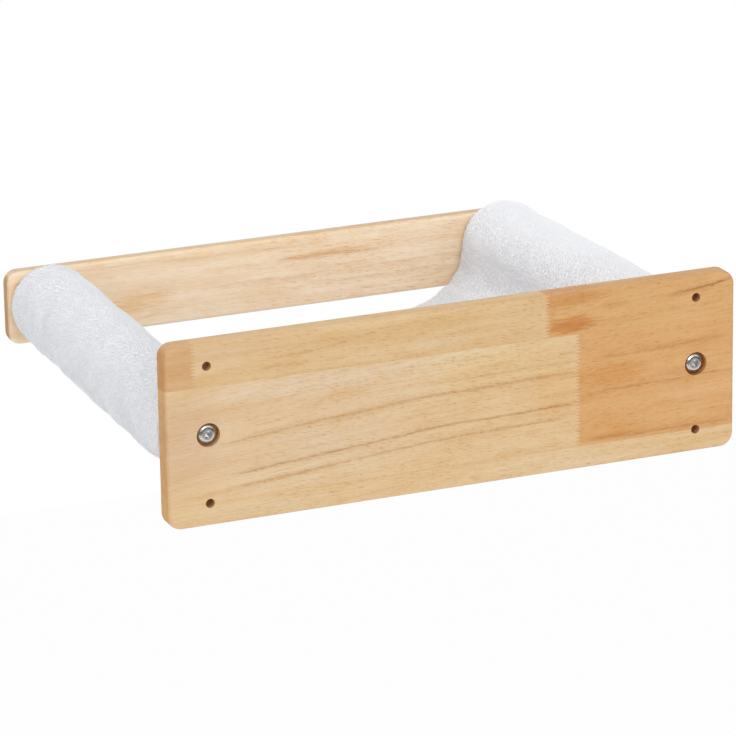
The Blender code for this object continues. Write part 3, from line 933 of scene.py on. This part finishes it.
def tuft_tree(tip_finish, hair_finish):
    """Short tufts and a few longer hairs on a ground: named sizes and a fixed seed."""
    tree = geometry_tree("tufts", "Tuft density", "Tuft length", "Tuft radius", "Hair density",
                         "Hair length", "Hair radius", "Ruffle")
    add = partial(add_node, tree)
    given = add("NodeGroupInput").outputs
    nap = add("GeometryNodeInputNamedAttribute", {"data_type": "FLOAT_VECTOR"}, Name="nap")
    loft = add("GeometryNodeInputNamedAttribute", {"data_type": "FLOAT"}, Name="loft")
    cone = add("GeometryNodeMeshCone", Vertices=3, at3=0.0, at4=1.0, at5=1.0)

    def vectors(operation, **inputs):
        return add("ShaderNodeVectorMath", {"operation": operation}, **inputs).outputs[0]

    def strew(kind, least, most, finish):
        """Cones on the ground that lean with the nap."""
        spread = add("GeometryNodeDistributePointsOnFaces", {"distribute_method": "RANDOM"},
                     Mesh=given["Geometry"], Density=given[f"{kind} density"], Seed=given["Seed"])
        chance = add("FunctionNodeRandomValue", {"data_type": "FLOAT_VECTOR"},
                     at0=(-1, -1, -1), at1=(1, 1, 1), Seed=given["Seed"])
        ruffled = vectors("SCALE", at0=chance.outputs[0], Scale=given["Ruffle"])
        lean = vectors("ADD", at0=spread.outputs["Normal"], at1=nap.outputs[0])
        lean = vectors("ADD", at0=lean, at1=ruffled)
        turn = add("FunctionNodeAlignRotationToVector", {"axis": "Z"}, Vector=lean)
        grown = add("FunctionNodeRandomValue", {"data_type": "FLOAT"}, at2=least, at3=most,
                    Seed=given["Seed"])
        tall = (Field(tree, given[f"{kind} length"]) * Field(tree, grown.outputs[1])
                * Field(tree, loft.outputs[0]))
        width = given[f"{kind} radius"]
        scale = add("ShaderNodeCombineXYZ", at0=width, at1=width, at2=tall)
        return strewn_copies(add, spread.outputs["Points"], cone.outputs["Mesh"],
                             turn.outputs[0], scale.outputs[0], finish)

    together = add("GeometryNodeJoinGeometry")
    for strewn in (strew("Hair", *HAIR_SPREAD, hair_finish),
                   strew("Tuft", *TUFT_SPREAD, tip_finish)):
        tree.links.new(strewn, together.inputs[0])
    add("NodeGroupOutput", at0=together.outputs[0])
    return tree


def stitch_tree(finish):
    """Stitches of thread along a line."""
    tree = geometry_tree("stitches", "Pitch", "Stitch length", "Thread radius")
    add = partial(add_node, tree)
    given = add("NodeGroupInput").outputs
    line = add("GeometryNodeMeshToCurve", Mesh=given["Geometry"])
    spots = add("GeometryNodeCurveToPoints", {"mode": "LENGTH"}, Curve=line.outputs[0],
                Length=given["Pitch"])
    turn = add("FunctionNodeAlignRotationToVector", {"axis": "Z"}, Vector=spots.outputs["Tangent"])
    half = Field(tree, given["Stitch length"]) * 0.5
    width = given["Thread radius"]
    scale = add("ShaderNodeCombineXYZ", at0=width, at1=width, at2=half)
    bead = add("GeometryNodeMeshUVSphere", Segments=6, Rings=5, Radius=1.0)
    add("NodeGroupOutput", at0=strewn_copies(
        add, spots.outputs["Points"], bead.outputs["Mesh"], turn.outputs[0], scale.outputs[0],
        finish))
    return tree


def grow(ground, tree, name, values):
    """Run a node tree on a ground and keep its result as a plain mesh."""
    modifier = ground.modifiers.new(tree.name, "NODES")
    modifier.node_group = tree
    for item in tree.interface.items_tree:
        if item.item_type == "SOCKET" and item.in_out == "INPUT" and item.name in values:
            modifier[item.identifier] = values[item.name]
    ground.update_tag()
    graph = bpy.context.evaluated_depsgraph_get()
    mesh = bpy.data.meshes.new_from_object(ground.evaluated_get(graph), depsgraph=graph)
    mesh.name = name
    bpy.data.objects.remove(ground)
    return in_scene(name, mesh)


def brush_pile(sling, top):
    """The way the pile lies at each point, and how far it stands up: less at the seams."""
    swirl, ruffle = (np.stack([soft_noise(top, size, seed) for size, seed in ways], -1)
                     for ways in (SWIRLS, RUFFLES))
    across_way = unit(np.gradient(top, axis=1))
    lay = np.clip(sling.middle[..., :1] / BRUSH_REACH, -1, 1)
    nap = BRUSHED * across_way * lay + SWIRLED * swirl + RUFFLED * ruffle
    to_side = np.minimum(sling.along, SLING_LENGTH - sling.along)
    out = np.where(sling.along < SLING_LENGTH / 2, -1.0, 1.0) * bell(to_side, SIDE_TURNED)
    nap[..., 1] += TURNED_OUT * out[:, None]
    loft = np.ones(top.shape[:2])
    for seam in SEAMS:
        loft *= 1 - SEAM_PRESS * bell(sling.across - sling.across[seam], SEAM_PRESSED)[None]
    return nap, loft


def make_pile(sling, top):
    """Loose tips over the whole pile side, in four quarters."""
    settings = bpy.context.scene.hammock_plush
    tree = tuft_tree(loose_pile("plush_tips"), loose_pile("plush_hairs"))
    nap, loft = brush_pile(sling, top)
    bed_cut = UPPER_SEAM - UPPER_POINTS
    cuts = (("sleeve_left", 0, bed_cut), ("bed_left", bed_cut, HALF - 1),
            ("bed_right", HALF - 1, COLUMNS - 1 - bed_cut),
            ("sleeve_right", COLUMNS - 1 - bed_cut, COLUMNS - 1))
    pieces = []
    for index, (name, first, last) in enumerate(cuts):
        part = slice(first, last + 1)
        width = last + 1 - first
        ground = mesh_piece(f"{name}_ground", top[:, part], grid_faces(SLING_ROWS, width), [])
        for key, kind, holder, values in (("nap", "FLOAT_VECTOR", "vector", nap),
                                          ("loft", "FLOAT", "value", loft)):
            layer = ground.data.attributes.new(key, kind, "POINT")
            layer.data.foreach_set(holder, values[:, part].ravel())
        area = sum(face.area for face in ground.data.polygons)
        piece = grow(ground, tree, f"pile_{name}", {
            "Tuft density": settings.tufts / area, "Tuft length": settings.tuft_length,
            "Tuft radius": settings.tuft_radius, "Hair density": settings.hairs / area,
            "Hair length": settings.hair_length, "Hair radius": settings.hair_radius,
            "Ruffle": TIP_RUFFLE, "Seed": PILE_SEED + index})
        pieces.append(piece)
    return pieces


def make_stitches(sling, top):
    """Seam stitches under both sleeves, and a row on the backing along each side of the bed."""
    settings = bpy.context.scene.hammock_plush
    thread = Finish("sewing_thread", base_color=(0.74, 0.74, 0.77, 1), roughness=0.6)
    back = knitted_side(sling)
    proud = top + sling.outward * SEAM_STITCH_RISE
    bed = slice(UPPER_SEAM + SIDE_ROW_MARGIN, COLUMNS - UPPER_SEAM - SIDE_ROW_MARGIN)
    lines = [proud[SEAM_STITCH_MARGIN:-SEAM_STITCH_MARGIN, seam] for seam in (SEAMS[0], SEAMS[-1])]
    for inset in (SIDE_ROW_INSET, SLING_LENGTH - SIDE_ROW_INSET):
        lines.append(back[np.argmin(abs(sling.along - inset)), bed])
    starts = np.cumsum([0] + [len(line) for line in lines])
    edges = [(i, i + 1) for start, line in zip(starts, lines)
             for i in range(start, start + len(line) - 1)]
    ground = mesh_piece("stitch_lines", np.concatenate(lines), [], [], edges=edges)
    return grow(ground, stitch_tree(thread.material), "stitches", {
        "Pitch": settings.pitch, "Stitch length": settings.stitch,
        "Thread radius": settings.thread})


def dress(piece):
    """Every piece of the hammock rides on its one body."""
    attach(piece, "root")


# Studio

CAMERA_PLACE = Vector((1.075878, 2.448366, 0.873059))
CAMERA_TURN = tuple(radians(a) for a in (22.51, 17.667, 0.959))
SENSOR_WIDTH = 36
FOCAL_PIXELS, PHOTO_PIXELS = 4418.764, 736
FLOOR_REACH = 1.4
FLOOR_GREY, FLOOR_GLOW = 0.90, 0.93
# In gloss the room shows as a darker band: its height, its breadth and how dark it is
ROOM_LEVEL, ROOM_BREADTH, ROOM_DARK = -0.10, 0.45, 0.92
# Each lamp's place, the point it is aimed at and its size
LAMPS = {
    "key": ((0.2, 3.0, 1.1), (0, -0.15, 0), 1.4),
    "fill": ((1.6, -1.4, 1.6), (0, -0.15, 0), 1.4),
    "top": ((0.05, -0.18, 0.42), (-0.05, -0.20, 0), 0.3),
}


def set_camera():
    """The photograph's camera: behind the wall board, above it and to its photo-left."""
    turn, dip, roll = CAMERA_TURN
    ahead = Vector((-sin(turn) * cos(dip), -cos(turn) * cos(dip), -sin(dip)))
    right = Vector((-cos(turn), sin(turn), 0))
    up = right.cross(ahead)
    right, up = cos(roll) * right - sin(roll) * up, sin(roll) * right + cos(roll) * up
    lens = bpy.data.cameras.new("camera")
    lens.lens = FOCAL_PIXELS / PHOTO_PIXELS * SENSOR_WIDTH
    lens.sensor_width = SENSOR_WIDTH
    lens.clip_end = 50
    camera = in_scene("camera", lens)
    camera.matrix_world = Matrix.Translation(CAMERA_PLACE) @ Matrix(
        (right, up, -ahead)).transposed().to_4x4()
    bpy.context.scene.camera = camera


def add_lamp(name, place, aim, size, power):
    """A square soft light, aimed at a point."""
    light = bpy.data.lights.new(name, "AREA")
    light.energy = power
    light.size = size
    lamp = in_scene(name, light)
    lamp.location = place
    lamp.visible_camera = False
    lamp.rotation_euler = (Vector(aim) - Vector(place)).to_track_quat("-Z", "Y").to_euler()


def seen_directly(tree):
    """1 for what the camera sees, also in a mirror or through glass."""
    path = add_node(tree, "ShaderNodeLightPath").outputs
    seen, glossy, through = (Field(tree, path[name]) for name in
                             ("Is Camera Ray", "Is Glossy Ray", "Is Transmission Ray"))
    return seen.most(glossy).most(through)


def pale_floor(level):
    """A plain white floor that still takes the hammock's shadow."""
    finish = Finish("studio_floor")
    tree = finish.tree
    plain = finish.node("ShaderNodeBsdfDiffuse", Color=(FLOOR_GREY, FLOOR_GREY, FLOOR_GREY, 1))
    white = finish.node("ShaderNodeEmission", Color=(1, 1, 1, 1), Strength=1.0)
    mixed = finish.node("ShaderNodeMixShader", at0=seen_directly(tree) * FLOOR_GLOW,
                        at1=plain.outputs[0], at2=white.outputs[0])
    tree.links.new(mixed.outputs[0], tree.nodes["Material Output"].inputs["Surface"])
    tree.nodes.remove(finish.shader)
    corners = np.array([(x * FLOOR_REACH, y * FLOOR_REACH, level)
                        for x, y in ((-1, -1), (1, -1), (1, 1), (-1, 1))])
    floor = mesh_piece("floor", corners, np.array([[0, 1, 2, 3]]), [finish.material])


def soft_world(strength):
    """Even white light, with the room behind the lamps as a darker band in gloss."""
    world = bpy.data.worlds.new("soft_light")
    bpy.context.scene.world = world
    world.use_nodes = True
    tree = world.node_tree
    back = tree.nodes["Background"]
    split = add_node(tree, "ShaderNodeSeparateXYZ",
                     at0=add_node(tree, "ShaderNodeTexCoord").outputs["Generated"])
    rise = Field(tree, split.outputs[2])
    room = 1 - (abs(rise - ROOM_LEVEL) / ROOM_BREADTH).least(1.0) ** 2
    glossy = Field(tree, add_node(tree, "ShaderNodeLightPath").outputs["Is Glossy Ray"])
    shown = 1 - glossy * room * ROOM_DARK
    seen = seen_directly(tree)
    put(tree, back.inputs["Color"], (1, 1, 1, 1))
    put(tree, back.inputs["Strength"], seen * shown + (1 - seen) * strength)


# Operators


class Step(bpy.types.Operator):
    """One step of dressing the hammock, which can be redone and undone"""
    bl_options = {"REGISTER", "UNDO"}


class HAMMOCK_OT_boards(Step):
    """Finish both boards and the dowels in lacquered rubberwood"""
    bl_idname = "hammock.boards"
    bl_label = "Boards and dowels"

    def execute(self, context):
        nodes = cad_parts
        nodes["wall_board"].material_slots[0].material = rubberwood(
            "wall_board_rubberwood", WALL_STAVES, WALL_RINGS, WALL_MARKS, BORES, calm=-200)
        # The outer board's ends and its top and bottom faces take darker painted shade than the wall
        # board's
        nodes["outer_board"].material_slots[0].material = rubberwood(
            "outer_board_rubberwood", OUTER_STAVES, OUTER_RINGS, OUTER_MARKS,
            end_tone_and_shade=(0.50, 0.38, 0.26), painted_edge_shade=(0.62, 0.57, 0.48), calm=-60)
        bare = rubberwood("dowel_rubberwood", DOWEL_STAVES)
        for name in ("dowel_left", "dowel_right"):
            nodes[name].material_slots[0].material = bare
        return {"FINISHED"}


class HAMMOCK_OT_fasteners(Step):
    """Finish the bolts in bright nickel and their inserts in zinc"""
    bl_idname = "hammock.fasteners"
    bl_label = "Bolts and inserts"

    def execute(self, context):
        steel, zinc = bright_steel(), cast_zinc()
        for name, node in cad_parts.items():
            if name.startswith("bolt_"):
                node.material_slots[0].material = steel
            elif name.startswith("insert_"):
                node.material_slots[0].material = zinc
        return {"FINISHED"}


class HAMMOCK_OT_sling(Step):
    """Make the plush sling: its cloth, its loose pile and its stitches"""
    bl_idname = "hammock.sling"
    bl_label = "Plush sling"

    def execute(self, context):
        sling = lay_sling()
        cloth, top = make_cloth(sling, pile_height(sling))
        dress(cloth)
        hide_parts("plush_sling")
        sewn_on = [*make_pile(sling, top), make_stitches(sling, top)]
        for piece in sewn_on:
            dress(piece)
        return {"FINISHED"}


class HAMMOCK_OT_studio(Step):
    """Set the camera, the pale floor and the soft light"""
    bl_idname = "hammock.studio"
    bl_label = "Studio"

    def execute(self, context):
        settings = context.scene.hammock_studio
        context.scene.view_settings.view_transform = "Standard"
        set_camera()
        pale_floor(settings.floor_level)
        soft_world(settings.sky)
        for name, (place, aim, size) in LAMPS.items():
            add_lamp(name, place, aim, size, getattr(settings, name))
        return {"FINISHED"}


class HAMMOCK_PT_panel(bpy.types.Panel):
    """Lists the steps that dress the hammock"""
    bl_idname = "HAMMOCK_PT_panel"
    bl_label = "Cat hammock"
    bl_space_type = "VIEW_3D"
    bl_region_type = "UI"
    bl_category = "Hammock"

    def draw(self, context):
        for step in STEPS:
            self.layout.operator(step.bl_idname)
        for key in SETTINGS:
            group = getattr(context.scene, key)
            box = self.layout.box()
            for name in group.__annotations__:
                box.prop(group, name)


SETTINGS = {
    "hammock_wood": WoodSettings,
    "hammock_metal": MetalSettings,
    "hammock_plush": PlushSettings,
    "hammock_studio": StudioSettings,
}
STEPS = (HAMMOCK_OT_boards, HAMMOCK_OT_fasteners, HAMMOCK_OT_sling, HAMMOCK_OT_studio)


def register():
    for key, group in SETTINGS.items():
        bpy.utils.register_class(group)
        setattr(bpy.types.Scene, key, PointerProperty(type=group))
    for step in STEPS:
        bpy.utils.register_class(step)
    bpy.utils.register_class(HAMMOCK_PT_panel)


def unregister():
    bpy.utils.unregister_class(HAMMOCK_PT_panel)
    for step in reversed(STEPS):
        bpy.utils.unregister_class(step)
    for key, group in reversed(list(SETTINGS.items())):
        delattr(bpy.types.Scene, key)
        bpy.utils.unregister_class(group)


def main():
    register()
    bpy.ops.hammock.boards()
    bpy.ops.hammock.fasteners()
    bpy.ops.hammock.sling()
    bpy.ops.hammock.studio()


if __name__ == "__main__":
    main()
